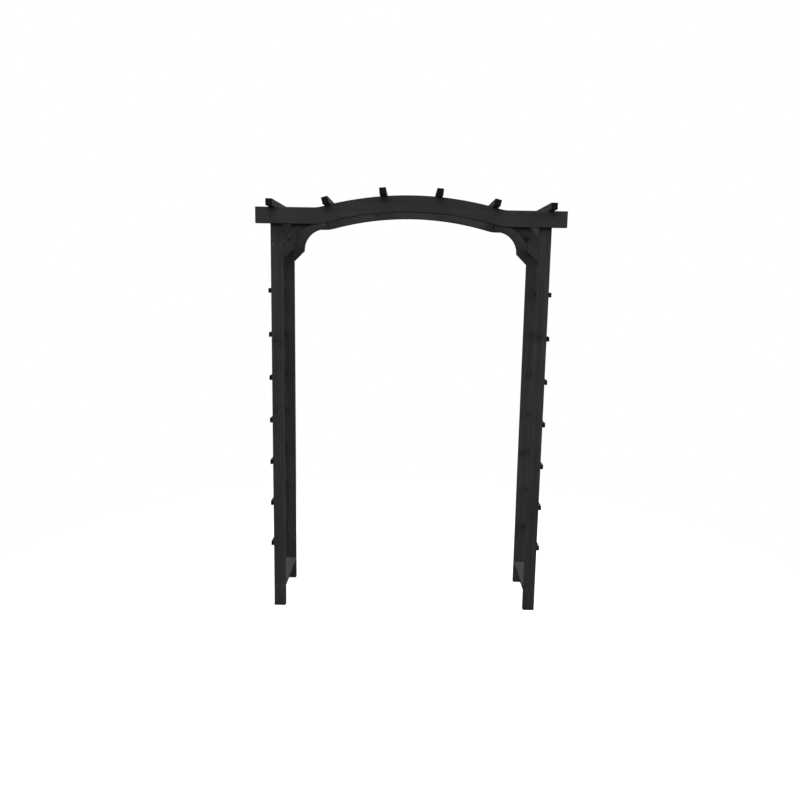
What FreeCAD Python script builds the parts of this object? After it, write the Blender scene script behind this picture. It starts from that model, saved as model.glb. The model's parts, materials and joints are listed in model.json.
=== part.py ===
import FreeCAD, Part
import Sketcher
import math
import os

# Garden arbor: two ladder sides, two arched beams, corner braces and six rafters.
# Millimetres. X runs across the passage, -Y is the front, Z is up.
# The origin is on the ground, in the middle of the four posts.

doc = FreeCAD.newDocument("GardenArbor")
sheet = doc.addObject("Spreadsheet::Sheet", "Sizes")

# Name, value and meaning of each driving dimension
sizes = [
    ("passageWidth", 1290, "clear width between the left and right posts"),
    ("frameDepth", 410, "front face of front posts to back face of back posts"),
    ("postWidth", 60, "post size across the passage"),
    ("postThickness", 30, "post size front to back"),
    ("beamUnderside", 2028, "height of the beams' flat ends above the ground"),
    ("beamHeight", 80, "height of the beam section"),
    ("beamThickness", 30, "beam size front to back"),
    ("beamOverhang", 70, "beam end beyond the outer face of the post"),
    ("archStart", 182, "inner face of the post to the start of the arch"),
    ("archRise", 65, "rise of the arch above the beam's flat ends"),
    ("archEaseRadius", 180, "radius that eases the flat end into the arch"),
    ("braceThickness", 30, "brace size front to back"),
    ("braceWidth", 91, "width of the board the brace is cut from"),
    ("braceDrop", 176, "brace tip below the underside of the beam"),
    ("braceRise", 60, "brace top above the underside of the beam"),
    ("braceTip", 57, "horizontal reach of the 45 degree tip of the brace"),
    ("braceNose", 7, "length of the upright shoulder above the tip"),
    ("braceLip", 25, "level shoulder of the brace, in line with the underside of the beam"),
    ("braceCurve", 115, "radius of the hollow curve of the brace"),
    ("railThickness", 24, "height of the cross rails between front and back post"),
    ("lowRailHeight", 104, "underside of the low rails above the ground"),
    ("topRailDrop", 92, "top of the top rails below the underside of the beam"),
    ("rungHeight", 24, "rung size up and down"),
    ("rungThickness", 14, "rung size across"),
    ("rungStart", 340, "underside of the lowest rung above the ground"),
    ("rungGap", 200, "clear height between rungs"),
    ("rafterSide", 33, "side of the square rafter section"),
    ("rafterOverhang", 75, "rafter end beyond the face of the beam"),
    ("rafterClear", 6, "second rafter from the end of the eased corner"),
    ("rafterEnd", 82, "outer rafter's centre from the end of the beam"),
    ("edgeRound", 2, "radius of the eased edges of every board"),
]
size = {}
for row, (name, value, meaning) in enumerate(sizes, start=1):
    sheet.set(f"A{row}", meaning)
    sheet.set(f"B{row}", str(value))
    sheet.setAlias(f"B{row}", name)
    size[name] = value
doc.recompute()

rungCount = 7
rightAngle = 90
halfTurn = 180
flatWithin = 1e-4

# Expressions that several pieces share
halfPassage = "Sizes.passageWidth / 2"
outerFace = "(Sizes.passageWidth / 2 + Sizes.postWidth)"
halfDepth = "Sizes.frameDepth / 2"
halfBeam = f"({outerFace} + Sizes.beamOverhang)"
archHalf = f"({halfPassage} - Sizes.archStart)"
archRadius = f"(({archHalf} ^ 2 + Sizes.archRise ^ 2) / (2 * Sizes.archRise))"
beamTop = "(Sizes.beamUnderside + Sizes.beamHeight)"
archCentre = f"({beamTop} + Sizes.archRise - {archRadius})"
easeReach = f"(Sizes.archEaseRadius * tan(asin({archHalf} / {archRadius}) / 2))"
braceSlope = "(Sizes.braceWidth * sqrt(2))"


def placeAt(body, x, y, z):
    body.setExpression("Placement.Base.x", x)
    body.setExpression("Placement.Base.y", y)
    body.setExpression("Placement.Base.z", z)


def newBody(name):
    body = doc.addObject("PartDesign::Body", name)
    body.Label = name
    return body


def roundAllEdges(body, feature):
    """Ease every edge of a board."""
    ease = body.newObject("PartDesign::Fillet", body.Name + "_edges")
    ease.Base = (feature, [""])
    ease.UseAllEdges = True
    ease.setExpression("Radius", "Sizes.edgeRound")
    body.Tip = ease


def board(name, across, deep, high):
    """A straight rectangular board with eased edges, one corner at its own origin."""
    body = newBody(name)
    block = body.newObject("PartDesign::AdditiveBox", name + "_block")
    block.setExpression("Length", across)
    block.setExpression("Width", deep)
    block.setExpression("Height", high)
    roundAllEdges(body, block)
    return body


def uprightSketch(body):
    """A sketch on the body's own XZ plane."""
    plane = [f for f in body.Origin.OriginFeatures if f.Role == "XZ_Plane"][0]
    sketch = body.newObject("Sketcher::SketchObject", body.Name + "_outline")
    sketch.AttachmentSupport = [(plane, "")]
    sketch.MapMode = "FlatFace"
    return sketch


def bind(sketch, constraint, expression):
    """Add a dimension to the sketch and tie it to the sheet."""
    index = sketch.addConstraint(constraint)
    sketch.setExpression(f"Constraints[{index}]", expression)


def padOutline(body, sketch, thickness):
    """Pad an outline by half the thickness to each side of its plane."""
    pad = body.newObject("PartDesign::Pad", body.Name + "_pad")
    pad.Profile = sketch
    pad.SideType = "Symmetric"
    pad.setExpression("Length", thickness)
    sketch.Visibility = False
    body.Tip = pad
    return pad


def vector(x, z):
    return FreeCAD.Vector(x, z, 0)


def line(x1, z1, x2, z2):
    return Part.LineSegment(vector(x1, z1), vector(x2, z2))


def post(name, side, end):
    """An upright post with its top level with the top of the beams."""
    body = board(name, "Sizes.postWidth", "Sizes.postThickness", beamTop)
    x = halfPassage if side > 0 else f"-{outerFace}"
    y = f"{halfDepth} - Sizes.postThickness" if end > 0 else f"-{halfDepth}"
    placeAt(body, x, y, "0")


def rail(name, side, bottom):
    """A flat cross rail between the front and the back post of one side."""
    body = board(name, "Sizes.postWidth", "Sizes.frameDepth - 2 * Sizes.postThickness", "Sizes.railThickness")
    x = halfPassage if side > 0 else f"-{outerFace}"
    placeAt(body, x, f"-{halfDepth} + Sizes.postThickness", bottom)


def rung(name, side, step):
    """A thin rung on the outer faces of the posts."""
    body = board(name, "Sizes.rungThickness", "Sizes.frameDepth", "Sizes.rungHeight")
    x = outerFace if side > 0 else f"-{outerFace} - Sizes.rungThickness"
    placeAt(body, x, f"-{halfDepth}", f"Sizes.rungStart + {step} * (Sizes.rungGap + Sizes.rungHeight)")


def rafter(name, centre):
    """A square rafter across both beams, turned to lie flat on the arch."""
    length = "Sizes.frameDepth + 2 * Sizes.beamThickness + 2 * Sizes.rafterOverhang"
    body = newBody(name)
    block = body.newObject("PartDesign::AdditiveBox", name + "_block")
    block.setExpression("Length", "Sizes.rafterSide")
    block.setExpression("Width", length)
    block.setExpression("Height", "Sizes.rafterSide")
    block.setExpression("Placement.Base.x", "-Sizes.rafterSide / 2")
    block.setExpression("Placement.Base.y", f"-({length}) / 2")
    roundAllEdges(body, block)
    onArch = f"abs({centre}) < {archHalf}"
    tilt = f"({onArch} ? asin(({centre}) / {archRadius}) : 0 deg)"
    seat = f"({onArch} ? {archCentre} + {archRadius} * cos({tilt}) : {beamTop})"
    body.Placement.Rotation = FreeCAD.Rotation(FreeCAD.Vector(0, 1, 0), rightAngle)
    placeAt(body, centre, "0", seat)
    body.setExpression("Placement.Rotation.Angle", tilt)


def beamOutline(sketch):
    """Flat ends and a concentric pair of arcs, symmetric about the middle of the passage."""
    half = size["passageWidth"] / 2 + size["postWidth"] + size["beamOverhang"]
    arch = size["passageWidth"] / 2 - size["archStart"]
    high = size["beamHeight"]
    radius = (arch ** 2 + size["archRise"] ** 2) / (2 * size["archRise"])
    centre = high + size["archRise"] - radius
    under = math.sqrt((radius - high) ** 2 - centre ** 2)
    axis = FreeCAD.Vector(0, 0, 1)
    middle = vector(0, centre)
    lowAngle = math.atan2(-centre, under)
    topAngle = math.atan2(high - centre, arch)
    lowArc = Part.ArcOfCircle(Part.Circle(middle, axis, radius - high), lowAngle, math.pi - lowAngle)
    topArc = Part.ArcOfCircle(Part.Circle(middle, axis, radius), topAngle, math.pi - topAngle)
    edges = [
        line(-half, high, -half, 0), line(-half, 0, -under, 0), lowArc, line(under, 0, half, 0),
        line(half, 0, half, high), line(half, high, arch, high), topArc, line(-arch, high, -half, high),
    ]
    sketch.addGeometry(edges, False)
    leftEnd, lowLeft, lowCurve, lowRight, rightEnd, topRight, topCurve, topLeft = range(8)
    constraints = [
        Sketcher.Constraint("Coincident", leftEnd, 2, lowLeft, 1),
        Sketcher.Constraint("Coincident", lowLeft, 2, lowCurve, 2),
        Sketcher.Constraint("Coincident", lowCurve, 1, lowRight, 1),
        Sketcher.Constraint("Coincident", lowRight, 2, rightEnd, 1),
        Sketcher.Constraint("Coincident", rightEnd, 2, topRight, 1),
        Sketcher.Constraint("Coincident", topRight, 2, topCurve, 1),
        Sketcher.Constraint("Coincident", topCurve, 2, topLeft, 1),
        Sketcher.Constraint("Coincident", topLeft, 2, leftEnd, 1),
        Sketcher.Constraint("Vertical", leftEnd),
        Sketcher.Constraint("Vertical", rightEnd),
        Sketcher.Constraint("Horizontal", topLeft),
        Sketcher.Constraint("Horizontal", topRight),
        Sketcher.Constraint("PointOnObject", lowLeft, 1, -1),
        Sketcher.Constraint("PointOnObject", lowLeft, 2, -1),
        Sketcher.Constraint("PointOnObject", lowRight, 1, -1),
        Sketcher.Constraint("Coincident", topCurve, 3, lowCurve, 3),
        Sketcher.Constraint("Symmetric", topCurve, 1, topCurve, 2, -2),
        Sketcher.Constraint("Symmetric", lowLeft, 1, lowRight, 2, -2),
    ]
    sketch.addConstraint(constraints)
    bind(sketch, Sketcher.Constraint("DistanceX", -1, 1, lowRight, 2, half), halfBeam)
    bind(sketch, Sketcher.Constraint("DistanceY", rightEnd, 1, rightEnd, 2, high), "Sizes.beamHeight")
    bind(sketch, Sketcher.Constraint("DistanceX", -1, 1, topCurve, 1, arch), archHalf)
    bind(sketch, Sketcher.Constraint("Radius", topCurve, radius), archRadius)
    bind(sketch, Sketcher.Constraint("Radius", lowCurve, radius - high), f"{archRadius} - Sizes.beamHeight")


def isCrossEdge(edge):
    """True for a straight edge that runs front to back."""
    box = edge.BoundBox
    return box.XLength < flatWithin and box.ZLength < flatWithin


def easeArch(body, pad):
    """Round the four edges where the flat ends turn into the arch."""
    endFace = pad.Shape.BoundBox.XMax - flatWithin
    edges = enumerate(pad.Shape.Edges, start=1)
    corners = [f"Edge{i}" for i, e in edges if isCrossEdge(e) and abs(e.CenterOfMass.x) < endFace]
    ease = body.newObject("PartDesign::Fillet", body.Name + "_corners")
    ease.Base = (pad, corners)
    ease.setExpression("Radius", "Sizes.archEaseRadius")
    return ease


def beam(name, end):
    """An arched beam on the outer faces of the posts."""
    body = newBody(name)
    sketch = uprightSketch(body)
    beamOutline(sketch)
    pad = padOutline(body, sketch, "Sizes.beamThickness")
    doc.recompute()
    roundAllEdges(body, easeArch(body, pad))
    sign = "" if end > 0 else "-"
    placeAt(body, "0", f"{sign}({halfDepth} + Sizes.beamThickness / 2)", "Sizes.beamUnderside")


def braceOutline(sketch):
    """A 45 degree brace with a hollow curve, its tip at the origin and the post along x = 0."""
    tip = size["braceTip"]
    reach = size["archStart"]
    slope = size["braceWidth"] * math.sqrt(2)
    nose = (tip, tip + size["braceNose"])
    lip = (reach - size["braceLip"], size["braceDrop"])
    top = size["braceDrop"] + size["braceRise"]
    chord = (lip[0] - nose[0], lip[1] - nose[1])
    length = math.hypot(*chord)
    away = math.sqrt(size["braceCurve"] ** 2 - (length / 2) ** 2)
    centre = vector((nose[0] + lip[0]) / 2 + away * chord[1] / length,
                    (nose[1] + lip[1]) / 2 - away * chord[0] / length)
    start = math.atan2(lip[1] - centre.y, lip[0] - centre.x)
    finish = math.atan2(nose[1] - centre.y, nose[0] - centre.x)
    circle = Part.Circle(centre, FreeCAD.Vector(0, 0, 1), size["braceCurve"])
    edges = [
        line(0, 0, tip, tip), line(tip, tip, *nose), Part.ArcOfCircle(circle, start, finish),
        line(*lip, reach, lip[1]), line(reach, lip[1], reach, top), line(reach, top, top - slope, top),
        line(top - slope, top, 0, slope), line(0, slope, 0, 0),
    ]
    sketch.addGeometry(edges, False)
    tipEdge, noseEdge, curve, lipEdge, endEdge, topEdge, backEdge, postEdge = range(8)
    constraints = [
        Sketcher.Constraint("Coincident", tipEdge, 1, -1, 1),
        Sketcher.Constraint("Coincident", tipEdge, 2, noseEdge, 1),
        Sketcher.Constraint("Coincident", noseEdge, 2, curve, 2),
        Sketcher.Constraint("Coincident", curve, 1, lipEdge, 1),
        Sketcher.Constraint("Coincident", lipEdge, 2, endEdge, 1),
        Sketcher.Constraint("Coincident", endEdge, 2, topEdge, 1),
        Sketcher.Constraint("Coincident", topEdge, 2, backEdge, 1),
        Sketcher.Constraint("Coincident", backEdge, 2, postEdge, 1),
        Sketcher.Constraint("Coincident", postEdge, 2, tipEdge, 1),
        Sketcher.Constraint("PointOnObject", backEdge, 2, -2),
        Sketcher.Constraint("Vertical", noseEdge),
        Sketcher.Constraint("Horizontal", lipEdge),
        Sketcher.Constraint("Vertical", endEdge),
        Sketcher.Constraint("Horizontal", topEdge),
        Sketcher.Constraint("Parallel", tipEdge, backEdge),
    ]
    sketch.addConstraint(constraints)
    bind(sketch, Sketcher.Constraint("DistanceX", -1, 1, tipEdge, 2, tip), "Sizes.braceTip")
    bind(sketch, Sketcher.Constraint("DistanceY", -1, 1, tipEdge, 2, tip), "Sizes.braceTip")
    bind(sketch, Sketcher.Constraint("DistanceY", noseEdge, 1, noseEdge, 2, nose[1] - tip), "Sizes.braceNose")
    bind(sketch, Sketcher.Constraint("DistanceX", lipEdge, 1, lipEdge, 2, reach - lip[0]), "Sizes.braceLip")
    bind(sketch, Sketcher.Constraint("DistanceX", -1, 1, lipEdge, 2, reach), "Sizes.archStart")
    bind(sketch, Sketcher.Constraint("DistanceY", -1, 1, lipEdge, 2, lip[1]), "Sizes.braceDrop")
    bind(sketch, Sketcher.Constraint("DistanceY", -1, 1, endEdge, 2, top), "Sizes.braceDrop + Sizes.braceRise")
    bind(sketch, Sketcher.Constraint("DistanceY", -1, 1, backEdge, 2, slope), braceSlope)
    bind(sketch, Sketcher.Constraint("Radius", curve, size["braceCurve"]), "Sizes.braceCurve")


def brace(name, side, end):
    """A corner brace between the inner face of a post and the inner face of a beam."""
    body = newBody(name)
    sketch = uprightSketch(body)
    braceOutline(sketch)
    roundAllEdges(body, padOutline(body, sketch, "Sizes.braceThickness"))
    if side > 0:
        body.Placement.Rotation = FreeCAD.Rotation(FreeCAD.Vector(0, 0, 1), halfTurn)
    x = halfPassage if side > 0 else f"-{halfPassage}"
    sign = "" if end > 0 else "-"
    y = f"{sign}({halfDepth} - Sizes.braceThickness / 2)"
    placeAt(body, x, y, "Sizes.beamUnderside - Sizes.braceDrop")


sides = {"left": -1, "right": 1}
ends = {"front": -1, "back": 1}
for endName, end in ends.items():
    beam(f"beam_{endName}", end)
    for sideName, side in sides.items():
        post(f"post_{endName}_{sideName}", side, end)
        brace(f"brace_{endName}_{sideName}", side, end)
for sideName, side in sides.items():
    rail(f"rail_low_{sideName}", side, "Sizes.lowRailHeight")
    rail(f"rail_top_{sideName}", side, "Sizes.beamUnderside - Sizes.topRailDrop - Sizes.railThickness")
    for step in range(rungCount):
        rung(f"rung_{sideName}_{step + 1}", side, step)

# Rafters from left to right: the outer pair over the posts, the others evenly along the arch
secondRafter = f"({archHalf} - {easeReach} - Sizes.rafterClear - Sizes.rafterSide / 2)"
outerRafter = f"({halfBeam} - Sizes.rafterEnd)"
centres = [f"-{outerRafter}", f"-{secondRafter}", f"-{secondRafter} / 3",
           f"{secondRafter} / 3", secondRafter, outerRafter]
for number, centre in enumerate(centres, start=1):
    rafter(f"rafter_{number}", centre)

doc.recompute()
bodies = [o for o in doc.Objects if o.TypeId == "PartDesign::Body"]
for o in doc.Objects:
    if "Invalid" in o.State or "Error" in o.State:
        raise RuntimeError(f"{o.Name} did not recompute: {o.State}")
for body in bodies:
    if body.Shape.isNull() or not body.Shape.isValid() or len(body.Shape.Solids) != 1:
        raise RuntimeError(f"{body.Label} is not one valid solid")

os.makedirs("parts", exist_ok=True)
for body in bodies:
    body.Shape.exportStep(f"parts/{body.Label}.step")
print(len(bodies), "pieces written")
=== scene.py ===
import bpy
import json
from math import asin, atan2, pi, radians, sqrt
from mathutils import Matrix, Vector


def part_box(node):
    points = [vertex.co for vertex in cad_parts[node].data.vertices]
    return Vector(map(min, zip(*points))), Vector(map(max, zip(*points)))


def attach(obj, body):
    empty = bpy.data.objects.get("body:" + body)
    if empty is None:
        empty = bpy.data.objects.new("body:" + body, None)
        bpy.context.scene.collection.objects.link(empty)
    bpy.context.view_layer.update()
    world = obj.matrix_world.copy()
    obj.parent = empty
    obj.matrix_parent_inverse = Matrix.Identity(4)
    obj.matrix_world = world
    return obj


# Garden arbor in charcoal-stained softwood. The boards come from the frame and get their
# stain here; the screws that hold them are modelled here. Metres, Z up, -Y is the front.

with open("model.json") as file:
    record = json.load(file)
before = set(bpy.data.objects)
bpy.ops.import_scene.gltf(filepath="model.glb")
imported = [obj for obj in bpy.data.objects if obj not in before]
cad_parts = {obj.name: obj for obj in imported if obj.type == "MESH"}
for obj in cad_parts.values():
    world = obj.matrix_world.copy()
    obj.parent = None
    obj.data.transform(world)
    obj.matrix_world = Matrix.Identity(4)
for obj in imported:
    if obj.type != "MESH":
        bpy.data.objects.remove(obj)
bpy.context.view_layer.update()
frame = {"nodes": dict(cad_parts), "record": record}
boards = frame["nodes"]
sides = {"left": -1, "right": 1}
ends = {"front": -1, "back": 1}
print("frame loaded:", len(boards), "boards")


class Flow:
    # an output socket that can be used in a sum; each sum adds its Math node

    def __init__(self, finish, socket):
        self.finish = finish
        self.socket = socket

    def maths(self, operation, first, second=0.0):
        return self.finish.add("ShaderNodeMath", {"operation": operation}, {0: first, 1: second})

    def __add__(self, other):
        return self.maths("ADD", self, other)

    def __radd__(self, other):
        return self.maths("ADD", other, self)

    def __sub__(self, other):
        return self.maths("SUBTRACT", self, other)

    def __rsub__(self, other):
        return self.maths("SUBTRACT", other, self)

    def __mul__(self, other):
        return self.maths("MULTIPLY", self, other)

    def __rmul__(self, other):
        return self.maths("MULTIPLY", other, self)

    def __abs__(self):
        return self.maths("ABSOLUTE", self)


class Finish:
    # the nodes of a material or of the world, while they are being put together

    def __init__(self, owner):
        owner.use_nodes = True
        self.owner = owner
        self.tree = owner.node_tree

    def add(self, kind, settings, values, outputs=0):
        node = self.tree.nodes.new(kind)
        for key, value in settings.items():
            setattr(node, key, value)
        for key, value in values.items():
            self.feed(node.inputs[key], value)
        if isinstance(outputs, tuple):
            return [Flow(self, node.outputs[key]) for key in outputs]
        return Flow(self, node.outputs[outputs])

    def feed(self, socket, value):
        if isinstance(value, Flow):
            self.tree.links.new(value.socket, socket)
        else:
            socket.default_value = value

    def dress(self, values):  # fills in the sockets of the material's own shader
        for key, value in values.items():
            self.feed(self.tree.nodes["Principled BSDF"].inputs[key], value)

    def split(self, vector):
        return self.add("ShaderNodeSeparateXYZ", {}, {"Vector": vector}, (0, 1, 2))

    def join(self, x, y, z):
        return self.add("ShaderNodeCombineXYZ", {}, {"X": x, "Y": y, "Z": z})

    def stretch(self, vector, scale, shift=(0, 0, 0)):
        settings = {"operation": "MULTIPLY_ADD"}
        return self.add("ShaderNodeVectorMath", settings, {0: vector, 1: scale, 2: shift})

    def noise(self, place, cells, detail):  # cells per metre
        return self.add("ShaderNodeTexNoise", {}, {"Vector": place, "Scale": cells, "Detail": detail})

    def streaks(self, grain, across, lengthwise, detail):  # cells per metre each way
        return self.noise(self.stretch(grain, (across, across, lengthwise)), 1.0, detail) - 0.5

    def shake(self, place, reach, cells):  # moves each point a little, so that outlines come out uneven
        wander = self.add("ShaderNodeTexNoise", {}, {"Vector": place, "Scale": cells, "Detail": 1.0}, "Color")
        offset = self.stretch(wander, [2 * reach] * 3, [-reach] * 3)
        return self.add("ShaderNodeVectorMath", {"operation": "ADD"}, {0: place, 1: offset})

    def ease(self, value, low, high, start=0.0, end=1.0):  # a smooth step from start to end
        settings = {"interpolation_type": "SMOOTHSTEP"}
        values = {"Value": value, "From Min": low, "From Max": high, "To Min": start, "To Max": end}
        return self.add("ShaderNodeMapRange", settings, values)

    def blend(self, share, first, second):  # two colours
        return self.add("ShaderNodeMix", {"data_type": "RGBA"}, {0: share, 6: first, 7: second}, 2)

    def nearest(self, place, spots, shape):
        # distance to the nearest spot (x, y, z, radius), counted in its radii
        closest = None
        for *centre, radius in spots:
            scale = [way / radius for way in shape]
            shift = [-start * way for start, way in zip(centre, scale)]
            offset = self.stretch(place, scale, shift)
            reach = self.add("ShaderNodeVectorMath", {"operation": "LENGTH"}, {0: offset}, "Value")
            closest = reach if closest is None else closest.maths("MINIMUM", closest, reach)
        return closest


def linear(level):  # share of white light that an sRGB level between 10 and 255 stands for
    return ((level / 255 + 0.055) / 1.055) ** 2.4


# Screws

screwHead = {
    "radius": 0.0042,
    "depth": 0.0032,
    "proud": 0.0005,  # the head stands out of the timber by this much
    "rim": 0.0004,  # rounding of the rim
    "rimSteps": 3,
    "seat": 0.5,  # width left at the bottom of the countersink
    "star": 0.0024,  # radius of the star-shaped drive
    "points": 6,  # of the star
    "waist": 0.72,  # the star's narrow places
    "driveDepth": 0.0017,
    "driveTaper": 0.85,
    "corners": 24,  # four for each point of the star
    "creases": 35,  # degrees; edges that turn less are shaded smooth
    "turn": 2.4,  # radians from one screw of a group to the next
}


def select(piece, kind, wanted):
    # in edit mode, only the wanted faces, edges or vertices are left selected
    bpy.ops.object.mode_set(mode="EDIT")
    bpy.ops.mesh.select_mode(type=kind)
    bpy.ops.mesh.select_all(action="DESELECT")
    bpy.ops.object.mode_set(mode="OBJECT")
    parts = {"VERT": piece.data.vertices, "EDGE": piece.data.edges, "FACE": piece.data.polygons}
    for part in parts[kind]:
        part.select = wanted(part)
    bpy.ops.object.mode_set(mode="EDIT")


def modelScrewHead(look):
    bpy.ops.object.select_all(action="DESELECT")
    bpy.ops.mesh.primitive_cylinder_add(vertices=look["corners"], radius=look["radius"], depth=look["depth"],
                                        location=(0, 0, look["proud"] - look["depth"] / 2))
    head = bpy.context.object
    bpy.ops.object.transform_apply(location=True, rotation=True, scale=True)
    top = look["proud"]
    near = look["rim"] / 10
    upright = 0.99  # what the normal of a level face exceeds
    pointCorners = look["corners"] // look["points"]

    def isMiddle(face):  # the flat face in the middle of the top
        flat = face.normal.z > upright and abs(face.center.z - top) < near
        return flat and len(face.vertices) == look["corners"]

    def isWaist(vertex):  # one corner between each two points, on the innermost ring
        step = round(atan2(vertex.co.y, vertex.co.x) / (2 * pi / look["corners"]))
        ring = sqrt(vertex.co.x ** 2 + vertex.co.y ** 2)
        inside = vertex.co.z > top - near and ring < look["star"] - near
        return inside and step % pointCorners == pointCorners // 2

    select(head, "FACE", lambda face: face.normal.z < -upright)  # narrowed to the countersink
    bpy.ops.transform.resize(value=(look["seat"], look["seat"], 1))
    select(head, "EDGE", lambda edge: all(head.data.vertices[i].co.z > top - near for i in edge.vertices))
    bpy.ops.mesh.bevel(offset=look["rim"], segments=look["rimSteps"])
    select(head, "FACE", isMiddle)
    bpy.ops.mesh.inset(thickness=look["radius"] - look["rim"] - look["star"])
    bpy.ops.mesh.inset(thickness=look["rim"] / 2)
    select(head, "VERT", isWaist)
    bpy.ops.transform.resize(value=(look["waist"], look["waist"], 1))
    select(head, "FACE", isMiddle)
    bpy.ops.mesh.extrude_region_move(TRANSFORM_OT_translate={"value": (0, 0, -look["driveDepth"])})
    bpy.ops.transform.resize(value=(look["driveTaper"], look["driveTaper"], 1))
    bpy.ops.object.mode_set(mode="OBJECT")
    bpy.ops.object.shade_smooth_by_angle(angle=radians(look["creases"]))
    return head


def driveScrews(name, head, places, look):
    # a copy of the head at each place, facing outward, each turned further than the last
    bpy.ops.object.select_all(action="DESELECT")
    for count, (point, outward) in enumerate(places):
        copy = head.copy()
        copy.data = head.data.copy()
        bpy.context.collection.objects.link(copy)
        tilt = Vector(outward).to_track_quat("Z", "Y").to_matrix().to_4x4()
        copy.matrix_world = Matrix.Translation(point) @ tilt @ Matrix.Rotation(look["turn"] * count, 4, "Z")
        copy.select_set(True)
    bpy.context.view_layer.objects.active = copy
    bpy.ops.object.transform_apply(location=True, rotation=True, scale=True)
    bpy.ops.object.join()
    copy.name = name
    copy.data.name = name
    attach(copy, "root")
    return copy


screwPlaces = {
    "pairSpread": {"low": 0.0165, "top": 0.0195},  # from the middle of the post, into the end of a rail
    "beamShares": (0.50, 0.80),  # up the beam, from behind, through the post
    "rungInset": 0.015,  # from the end of the rung
    "rafterSide": 0.033,  # how thick the square rafters are
    "rafterEdge": 0.002,  # rounding of their edges
    "braceInset": 0.0175,  # from the upper end of the brace
    "braceDrops": {"left": 0.035, "right": 0.018},  # from its top
    "toeRise": 0.0265,  # up the sloping tip, and as far out from the post
}


def postScrews(look):
    places = []
    for end, forward in ends.items():
        for side in sides:
            low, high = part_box(f"post_{end}_{side}")
            outerFace = high.y if forward > 0 else low.y
            for level in ("low", "top"):
                railLow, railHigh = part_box(f"rail_{level}_{side}")
                for hand in (-1, 1):
                    middle = (low.x + high.x) / 2
                    spread = hand * look["pairSpread"][level]
                    point = (middle + spread, outerFace, (railLow.z + railHigh.z) / 2)
                    places.append((point, (0, forward, 0)))
    return places


def beamScrews(look):
    places = []
    for end, forward in ends.items():
        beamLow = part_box(f"beam_{end}")[0]
        for side in sides:
            low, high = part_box(f"post_{end}_{side}")
            innerFace = low.y if forward > 0 else high.y
            for share in look["beamShares"]:
                height = beamLow.z + share * (high.z - beamLow.z)
                places.append((((low.x + high.x) / 2, innerFace, height), (0, -forward, 0)))
    return places


def rungScrews(look):
    places = []
    for name in sorted(boards):
        if name.startswith("rung_"):
            low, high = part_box(name)
            outward = 1 if low.x > 0 else -1
            for y in (low.y + look["rungInset"], high.y - look["rungInset"]):
                point = (high.x if outward > 0 else low.x, y, (low.z + high.z) / 2)
                places.append((point, (outward, 0, 0)))
    return places


def rafterScrews(look):
    # a square rafter's box is wider the more it is tilted, which gives its tilt
    side = look["rafterSide"]
    edge = look["rafterEdge"]
    places = []
    for name in sorted(boards):
        if name.startswith("rafter_"):
            low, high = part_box(name)
            spread = (high.x - low.x - 2 * edge) / (side - 2 * edge)
            tilt = asin(min(1, max(0, spread ** 2 - 1))) / 2
            middle = (low + high) / 2
            outward = Matrix.Rotation(tilt if middle.x > 0 else -tilt, 3, "Y") @ Vector((0, 0, 1))
            for end in ends:
                beamLow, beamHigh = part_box(f"beam_{end}")
                point = Vector((middle.x, (beamLow.y + beamHigh.y) / 2, middle.z)) + outward * side / 2
                places.append((point, outward))
    return places


def braceScrews(look):
    places = []
    for end, forward in ends.items():
        for side, outward in sides.items():
            low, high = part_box(f"brace_{end}_{side}")
            post = low.x if outward < 0 else high.x
            tip = high.x if outward < 0 else low.x
            innerFace = low.y if forward > 0 else high.y
            upper = (tip + outward * look["braceInset"], innerFace, high.z - look["braceDrops"][side])
            places.append((upper, (0, -forward, 0)))
            toe = (post - outward * look["toeRise"], (low.y + high.y) / 2, low.z + look["toeRise"])
            places.append((toe, (-outward, 0, -1)))
    return places


screwGroups = {
    "screws_posts": postScrews,
    "screws_beams": beamScrews,
    "screws_rungs": rungScrews,
    "screws_rafters": rafterScrews,
    "screws_braces": braceScrews,
}
pattern = modelScrewHead(screwHead)
screws = {}
for groupName, findPlaces in screwGroups.items():
    screws[groupName] = findPlaces(screwPlaces)
screwPieces = [driveScrews(groupName, pattern, places, screwHead) for groupName, places in screws.items()]
bpy.data.objects.remove(pattern)
print("screws driven:", sum(len(places) for places in screws.values()))


# Timber

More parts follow.
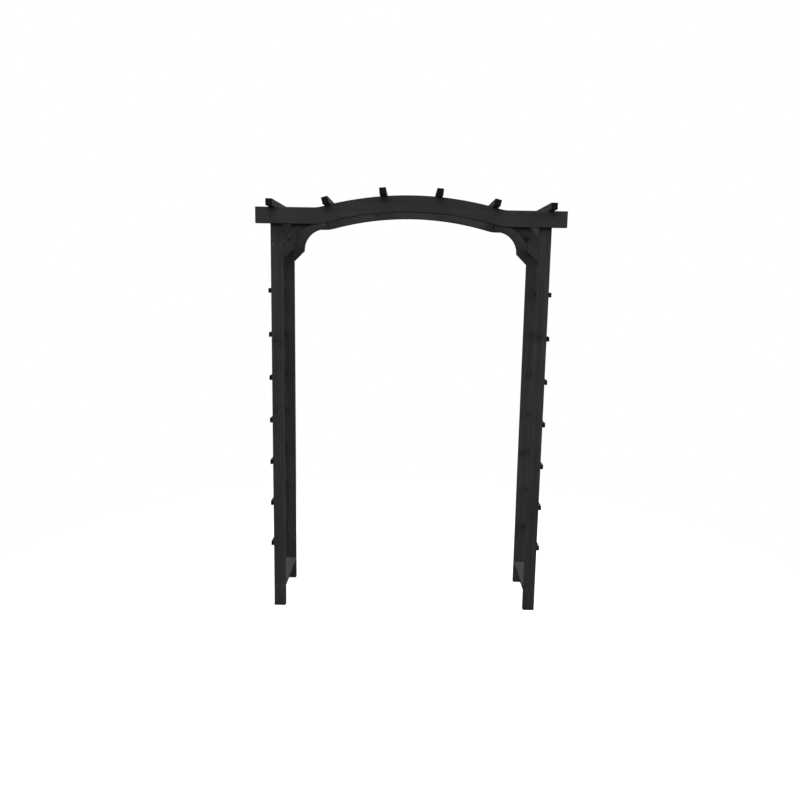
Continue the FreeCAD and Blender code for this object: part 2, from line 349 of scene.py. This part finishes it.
timber = {
    "stain": 56,  # sRGB level of the charcoal stain on a planed face
    "headroom": 2.0,  # the palest that timber can get, as a multiple of the stain
    "boardTone": 0.10,  # one board against another
    "boardShift": 7.0,  # metres, so that no two boards show the same grain
    "bands": 0.55,  # contrast of the broad early and late wood
    "lines": 0.40,  # contrast of the fine grain
    "fibres": 0.16,
    "bandCells": (95.0, 2.2, 1.5),  # per metre across and along the grain, and detail
    "lineCells": (280.0, 9.0, 2.0),
    "fibreCells": (1400.0, 30.0, 1.0),
    "drift": (0.02, 0.008),  # metres that the grain wanders over, in the width and in the depth
    "driftCells": (6.0, 1.3, 1.0),
    "figure": 0.0,  # how much stronger the grain is at the spots of figuredAt
    "figuredAt": [],
    "figureEdge": (0.7, 1.0),  # where that fades, as a share of the reach
    "blotches": 0.35,  # uneven coat
    "blotchCells": (9.0, 3.0),  # per metre, and detail
    "paintedLightAndShade": [],  # places (x, y, z, reach) with how much paler or darker the timber is painted there: painted light and painted shade
    "paintedLightAndShadeEdge": (0.6, 1.0),
    "knotDepth": 0.22,  # how much darker the heart of a knot is
    "knotHalo": 0.12,  # the darker wood around a knot
    "heartEdge": (0.3, 1.2),  # where each fades, in radii of the knot
    "haloEdge": (0.7, 3.0),
    "knotShake": (0.007, 70.0),  # uneven outlines: metres, and cells per metre
    "knotBend": 0.008,  # metres that the grain swings aside at a knot
    "paleUpFaces": 0.22,  # faces that look up are paler
    "paleUpFacesEdge": (0.5, 0.95),
    # rounded edges are paler: partly wear, partly a painted highlight
    "edgeWearAndHighlight": 0.35,
    "rounding": (0.08, 0.2),  # from a face to the rounding beside it, as softEdge measures it
    "deepRounding": (0.3, 0.48),  # the same on boards that run from front to back
    "wearAndHighlightPatches": (-0.2, 0.25, 0.3, 1.0),  # least and most blotch, and the share of the wear and painted highlight at each
    "endGrain": 0.21,  # sawn ends drink more stain
    "endEdge": (0.62, 0.9),
    "sawnTone": 0.1,
    "sawMarks": 1.4,
    "sawCells": (120.0, 4.0),
    "rings": 0.55,  # how much paler the early wood is there
    "ringCount": 150.0,
    "ringCells": (11.0, 11.0, 9.0),
    "ringEdge": (-0.2, 0.9),
    "foot": 0.0,  # darker where the cut end stands on the ground
    "footHeight": 0.016,
    "screwsIn": [],  # the screws driven into these boards
    "countersinkShade": (0.0042, 0.0088, 0.42),  # painted shade of the countersunk recess round a head, partly a water stain: from, to, how much darker
    "roughness": 0.72,
    "lineRoughness": 0.25,
    "knotGloss": 0.1,
    "sheen": 0.0,  # specular level, the same all over
    "relief": {"bands": 0.25, "lines": 0.5, "fibres": 0.25, "heart": 0.3},
    "reliefStrength": 0.5,
    "grainDepth": 0.0004,
}

postTimber = {
    **timber,
    "slot": "post_wood",
    "runs": "up",
    "cells": ((1.35, 1.0, 10.0), (0.0, 0.0, 0.0)),  # cell size and offset: one cell holds one board
    "knots": [  # x, y, z and radius
        (-0.672, -0.19, 1.440, 0.016), (-0.666, -0.19, 1.412, 0.009), (-0.688, -0.19, 1.075, 0.009),
        (0.668, -0.19, 1.478, 0.018), (0.676, -0.19, 1.250, 0.007), (-0.692, 0.19, 1.440, 0.011),
        (-0.690, 0.19, 1.228, 0.006), (-0.688, 0.19, 1.008, 0.008), (0.670, 0.19, 1.723, 0.011),
        (0.668, 0.19, 1.215, 0.006), (0.662, 0.19, 0.785, 0.015), (0.685, 0.19, 0.341, 0.010),
    ],
    "knotShape": (0.8, 0.18, 1.1),  # the smaller a number, the longer the knots are that way
    "figure": 0.9,
    "figuredAt": [(0.675, -0.19, 1.85, 1.0)],
    # painted light and painted shade: paler high on the back-right post, darker over the back-left post and
    # low on the front posts
    "paintedLightAndShade": [
        ((0.675, 0.19, 2.05, 0.35), 0.22), ((0.675, 0.19, 1.50, 0.70), -0.10),
        ((0.675, 0.19, 0.50, 0.90), 0.05), ((-0.675, 0.19, 1.45, 1.50), -0.13),
        ((-0.675, -0.19, 0.80, 1.20), -0.05), ((0.675, -0.19, 0.30, 1.00), -0.07),
    ],
    "boardShape": (8.0, 8.0, 1.6),
    "edgeWearAndHighlight": 0.60,
    "foot": 0.6,
    "screwsIn": ["screws_posts"],
}
beamTimber = {
    **timber,
    "slot": "beam_wood",
    "stain": 55,
    "runs": "across",
    "cells": ((10.0, 1.0, 10.0), (0.5, 0.0, 0.0)),
    "knots": [
        (-0.183, 0.22, 2.108, 0.010), (0.336, 0.22, 2.120, 0.009), (-0.560, 0.22, 2.078, 0.008),
    ],
    "knotShape": (0.7, 0.12, 1.0),
    "bands": 0.40,
    "lines": 0.25,
    # painted light on the back beam, painted shade on the crown of the front beam
    "paintedLightAndShade": [((0.0, 0.22, 2.1, 1.0), 0.10), ((0.10, -0.22, 2.1, 0.25), -0.07)],
    "boardShape": (0.5, 8.0, 1.0),
}
braceTimber = {
    **timber,
    "slot": "brace_wood",
    "stain": 54,
    "runs": "leaning",
    "cells": ((2.0, 1.0, 10.0), (0.0, 0.0, 0.0)),
    "knots": [
        # the two knots at x -0.63, y 0.19 on the back-left brace are also painted shade, where shade falls
        # near the front brace's tip
        (-0.611, -0.19, 1.954, 0.009), (0.582, -0.19, 1.970, 0.013), (-0.628, 0.19, 1.986, 0.011),
        (-0.632, 0.19, 1.944, 0.005),
    ],
    "knotDepth": 0.50,
    "edgeWearAndHighlight": 0.60,
    "knotShape": (0.9, 0.12, 0.9),
}
rungTimber = {
    **timber,
    "slot": "rung_wood",
    "runs": "deep",
    "cells": ((2.0, 10.0, 0.224), (0.0, 0.5, -1.0714)),
    "knots": [(-0.712, -0.060, 0.800, 0.006), (0.712, 0.070, 1.248, 0.006), (0.712, -0.100, 0.576, 0.005)],
    "knotShape": (0.12, 0.7, 1.0),
}
rafterTimber = {
    **timber,
    "slot": "rafter_wood",
    "stain": 60,
    "runs": "deep",
    "cells": ((0.2769, 10.0, 10.0), (0.0, 0.5, 0.0)),
    "knots": [(-0.693, 0.050, 2.125, 0.007), (0.138, -0.110, 2.180, 0.007), (0.415, 0.120, 2.135, 0.007)],
    "knotShape": (0.3, 0.7, 1.0),
    # painted shade on the left rafter, painted light on the right rafter
    "paintedLightAndShade": [((-0.693, 0.0, 2.12, 0.9), -0.19), ((0.693, 0.0, 2.12, 0.9), 0.18)],
    "boardShape": (8.0, 1.0, 1.0),
}


def grainWays(finish, runs, place, facing):
    # along the grain, across the board's width and depth, and how far a face looks along the grain
    x, y, z = finish.split(place)
    nx, ny, nz = finish.split(facing)
    if runs == "up":
        return z, x, y, nz
    if runs == "across":
        return x, z, y, nx
    if runs == "deep":
        return y, x, z, ny
    half = sqrt(0.5)  # a brace leans from its post towards the middle of the passage
    hand = x.maths("SIGN", x)
    return (z - abs(x)) * half, (z + abs(x)) * half, y, (nz - nx * hand) * half


def boardChance(finish, look, place):
    # one number from 0 to 1 for each board
    size, offset = look["cells"]
    cell = finish.add("ShaderNodeVectorMath", {"operation": "FLOOR"},
                      {0: finish.stretch(place, [1 / way for way in size], offset)})
    return finish.add("ShaderNodeTexWhiteNoise", {}, {"Vector": cell}, "Value")


def knotWood(finish, look, place):
    # from 0 to 1: how much a point belongs to the heart of a knot, and to the darker wood around it
    knot = finish.nearest(finish.shake(place, *look["knotShake"]), look["knots"], look["knotShape"])
    heart = finish.ease(knot, *look["heartEdge"], 1.0, 0.0)
    halo = finish.ease(knot, *look["haloEdge"], 1.0, 0.0)
    return heart, halo


def unevenCoatAndPaintedLight(finish, look, place, blotches, chance):
    # how pale the stain is, about 1, with painted light and painted shade added at the listed places
    coatAndPaintedLight = 1 + blotches * look["blotches"] + (chance - 0.5) * 2 * look["boardTone"]
    # painted light and painted shade at the listed places
    for spot, change in look["paintedLightAndShade"]:
        near = finish.nearest(place, [spot], look["boardShape"])
        coatAndPaintedLight = coatAndPaintedLight + finish.ease(near, *look["paintedLightAndShadeEdge"], change, 0.0)
    return coatAndPaintedLight


def darkPlaces(finish, look, place, heart, halo):
    # below 1 at the knots, and round the screws, where painted shade of the countersunk recess lies, partly a
    # water stain
    shade = 1 - heart * look["knotDepth"] - halo * look["knotHalo"]
    rim, reach, depth = look["countersinkShade"]
    for groupName in look["screwsIn"]:
        heads = [(*point, reach) for point, outward in screws[groupName]]
        # painted shade round each screw head, partly a water stain
        recessShade = finish.nearest(place, heads, (1.0, 1.0, 1.0))
        shade = shade - finish.ease(recessShade, rim / reach, 1.0, depth, 0.0)
    return shade


def softEdge(finish, look, facing):
    # 1 on the rounding between two faces of a board, 0 on the faces
    nx, ny, nz = finish.split(facing)
    if look["runs"] == "deep":
        return finish.ease(abs(nx * nz), *look["deepRounding"])
    return finish.ease(abs(ny) * (1 - abs(ny)), *look["rounding"])


def sawnEnd(finish, look, place, wide, deep, chance):
    # saw marks, and growth rings along the contours of a slow noise
    marks = finish.noise(place, *look["sawCells"])
    slow = finish.stretch(finish.join(wide, deep, chance), look["ringCells"])
    turns = finish.noise(slow, 1.0, 0.0) * look["ringCount"]
    rings = finish.ease(turns.maths("SINE", turns), *look["ringEdge"])
    return (look["sawnTone"] + marks * look["sawMarks"] + rings * look["rings"]) * look["endGrain"]


def stainTimber(look):
    finish = Finish(bpy.data.materials.new(look["slot"]))
    place = finish.add("ShaderNodeTexCoord", {}, {}, "Object")
    facing = finish.add("ShaderNodeTexCoord", {}, {}, "Normal")
    along, wide, deep, ending = grainWays(finish, look["runs"], place, facing)
    chance = boardChance(finish, look, place)
    heart, halo = knotWood(finish, look, place)

    lengthwise = along + chance * look["boardShift"]
    drift = finish.streaks(finish.join(wide, deep, lengthwise), *look["driftCells"])
    driftWide, driftDeep = look["drift"]
    bent = wide + drift * driftWide + halo * look["knotBend"]
    grain = finish.join(bent, deep + drift * driftDeep, lengthwise)
    bands = finish.streaks(grain, *look["bandCells"])
    lines = finish.streaks(grain, *look["lineCells"])
    fibres = finish.streaks(grain, *look["fibreCells"])
    grainy = bands * look["bands"] + lines * look["lines"] + fibres * look["fibres"]
    if look["figuredAt"]:
        figured = finish.nearest(place, look["figuredAt"], look["boardShape"])
        grainy = grainy * (1 + finish.ease(figured, *look["figureEdge"], 1.0, 0.0) * look["figure"])

    blotches = finish.noise(place, *look["blotchCells"]) - 0.5
    coatAndPaintedLight = unevenCoatAndPaintedLight(finish, look, place, blotches, chance)
    # faces that look up are made paler
    facingUp = finish.ease(finish.split(facing)[2], *look["paleUpFacesEdge"])
    face = (grainy + coatAndPaintedLight) * darkPlaces(finish, look, place, heart, halo) * (1 + facingUp * look["paleUpFaces"])
    sawn = sawnEnd(finish, look, place, wide, deep, chance)
    end = finish.ease(abs(ending), *look["endEdge"])
    # paler rounded edges: wear, and a painted highlight where the rounding catches light
    wornAndHighlit = softEdge(finish, look, facing) * finish.ease(blotches, *look["wearAndHighlightPatches"])
    level = face + end * (sawn - face) + wornAndHighlit * look["edgeWearAndHighlight"] * (1 - end)
    height = finish.split(place)[2]
    level = level * (1 - finish.ease(height, 0.0, look["footHeight"], look["foot"], 0.0))

    palest = look["headroom"] * linear(look["stain"])
    rise = look["relief"]
    relief = bands * rise["bands"] + lines * rise["lines"] + fibres * rise["fibres"] - heart * rise["heart"]
    bump = {"Strength": look["reliefStrength"], "Distance": look["grainDepth"], "Height": relief}
    finish.dress({
        "Base Color": finish.blend(level * (1 / look["headroom"]), (0, 0, 0, 1), (palest, palest, palest, 1)),
        "Roughness": look["roughness"] + lines * look["lineRoughness"] - heart * look["knotGloss"],
        "Specular IOR Level": look["sheen"],
        "Normal": finish.add("ShaderNodeBump", {}, bump),
    })
    return finish.owner


slotOf = {part["node"]: part["material_slot"] for part in frame["record"]["subparts"]}
for look in (postTimber, beamTimber, braceTimber, rungTimber, rafterTimber):
    stained = stainTimber(look)
    wearing = [name for name in sorted(boards) if slotOf[name] == look["slot"]]
    for name in wearing:
        boards[name].material_slots[0].material = stained
    print("stained:", look["slot"], len(wearing), "boards")


# Screw metal

zincPlate = {
    "bright": (0.145, 0.130, 0.082, 1.0),
    "dull": (0.070, 0.063, 0.043, 1.0),
    "tarnishCells": (420.0, 3.0),  # per metre, and detail
    "tarnishEdge": (0.35, 0.65),
    "weathered": (0.078, 0.076, 0.058, 1.0),
    "weatherSide": (0.198, 0.202),  # beyond this, front and back, the heads stand in the rain
    "weatherShare": (0.7, 0.3),  # everywhere there, and more where it is tarnished
    "metallic": 0.6,
    "roughness": 0.45,
    "tarnishRoughness": 0.25,
}


def plateScrews(look):
    finish = Finish(bpy.data.materials.new("screw_metal"))
    place = finish.add("ShaderNodeTexCoord", {}, {}, "Object")
    tarnish = finish.ease(finish.noise(place, *look["tarnishCells"]), *look["tarnishEdge"])
    plate = finish.blend(tarnish, look["bright"], look["dull"])
    outside = finish.ease(abs(finish.split(place)[1]), *look["weatherSide"])
    everywhere, tarnished = look["weatherShare"]
    weather = outside * (everywhere + tarnish * tarnished)
    finish.dress({
        "Base Color": finish.blend(weather, plate, look["weathered"]),
        "Metallic": look["metallic"],
        "Roughness": look["roughness"] + tarnish * look["tarnishRoughness"],
    })
    return finish.owner


plated = plateScrews(zincPlate)
for piece in screwPieces:
    piece.data.materials.clear()
    piece.data.materials.append(plated)
print("screws plated")


# Studio

studio = {
    "ambient": 0.47,
    "overhead": {"place": (0, 0, 5.6), "size": 5.0, "watts": 215},
    "front": {"place": (-0.9, -5.2, 4.3), "size": 3.0, "watts": 113},
    "left": {"place": (-6.0, -0.5, 3.4), "size": 5.0, "watts": 150},
    "right": {"place": (6.0, -0.5, 3.4), "size": 6.0, "watts": 400},
    "back": {"place": (0.5, 6.5, 3.4), "size": 4.0, "watts": 140},
    "aim": (0, 0, 1.3),
    "floorSize": 80,
    "floorGlow": 0.70,  # what the camera sees even in shadow
    "floorPaint": 0.45,
    "floorBounce": 0.08,  # what the object is lit by
    "nearFloor": (1.2, 2.6),  # shadows show inside the first radius and are gone at the second
}


def seenDirectly(finish):  # camera, mirror and glass rays see the white surroundings
    camera, glossy, clear = finish.add("ShaderNodeLightPath", {}, {},
                                       ("Is Camera Ray", "Is Glossy Ray", "Is Transmission Ray"))
    return camera.maths("MAXIMUM", camera, camera.maths("MAXIMUM", glossy, clear))


def lightStudio(look):
    world = bpy.data.worlds.new("studio")
    bpy.context.scene.world = world
    finish = Finish(world)
    dim = finish.add("ShaderNodeBackground", {}, {"Color": (1, 1, 1, 1), "Strength": look["ambient"]})
    white = finish.add("ShaderNodeBackground", {}, {"Color": (1, 1, 1, 1), "Strength": 1.0})
    mixed = finish.add("ShaderNodeMixShader", {}, {0: seenDirectly(finish), 1: dim, 2: white})
    finish.feed(finish.tree.nodes["World Output"].inputs["Surface"], mixed)
    for name in ("overhead", "front", "left", "right", "back"):
        lamp = look[name]
        bpy.ops.object.light_add(type="AREA", location=lamp["place"])
        light = bpy.context.object
        light.name = name
        light.data.size = lamp["size"]
        light.data.energy = lamp["watts"]
        light.rotation_euler = (Vector(look["aim"]) - light.location).to_track_quat("-Z", "Y").to_euler()


def layFloor(look):
    bpy.ops.mesh.primitive_plane_add(size=look["floorSize"], location=(0, 0, 0))
    floor = bpy.context.object
    floor.name = "floor"
    finish = Finish(bpy.data.materials.new("floor"))
    paint = look["floorPaint"]
    bounce = look["floorBounce"]
    glow = finish.add("ShaderNodeEmission", {}, {"Color": (1, 1, 1, 1), "Strength": look["floorGlow"]})
    pale = finish.add("ShaderNodeBsdfDiffuse", {}, {"Color": (paint, paint, paint, 1)})
    near = finish.add("ShaderNodeAddShader", {}, {0: glow, 1: pale})
    white = finish.add("ShaderNodeEmission", {}, {"Color": (1, 1, 1, 1), "Strength": 1.0})
    place = finish.add("ShaderNodeTexCoord", {}, {}, "Object")
    away = finish.add("ShaderNodeVectorMath", {"operation": "LENGTH"}, {0: place}, "Value")
    fade = finish.ease(away, *look["nearFloor"])
    lit = finish.add("ShaderNodeMixShader", {}, {0: fade, 1: near, 2: white})
    dim = finish.add("ShaderNodeBsdfDiffuse", {}, {"Color": (bounce, bounce, bounce, 1)})
    mixed = finish.add("ShaderNodeMixShader", {}, {0: seenDirectly(finish), 1: dim, 2: lit})
    finish.feed(finish.tree.nodes["Material Output"].inputs["Surface"], mixed)
    floor.data.materials.append(finish.owner)


lightStudio(studio)
layFloor(studio)
print("studio lit")


# Camera

camera = {
    "place": (-0.00254, -4.0200, 1.76319),
    "pitch": 9.2212,  # degrees below level
    "yaw": -0.5629,  # degrees to the right
    "roll": 0.9502,
    "focal": 743.935,  # pixels, in a picture 800 pixels wide
    "picture": 800,
    "sensor": 36,  # millimetres
}


def placeCamera(look):
    bpy.ops.object.camera_add()
    eye = bpy.context.object
    eye.matrix_world = (Matrix.Translation(look["place"]) @ Matrix.Rotation(radians(-look["yaw"]), 4, "Z")
                        @ Matrix.Rotation(radians(90 - look["pitch"]), 4, "X")
                        @ Matrix.Rotation(radians(look["roll"]), 4, "Z"))
    eye.data.sensor_width = look["sensor"]
    eye.data.lens = look["focal"] / look["picture"] * look["sensor"]
    bpy.context.scene.camera = eye


placeCamera(camera)
bpy.context.scene.view_settings.view_transform = "Standard"
print("camera placed")
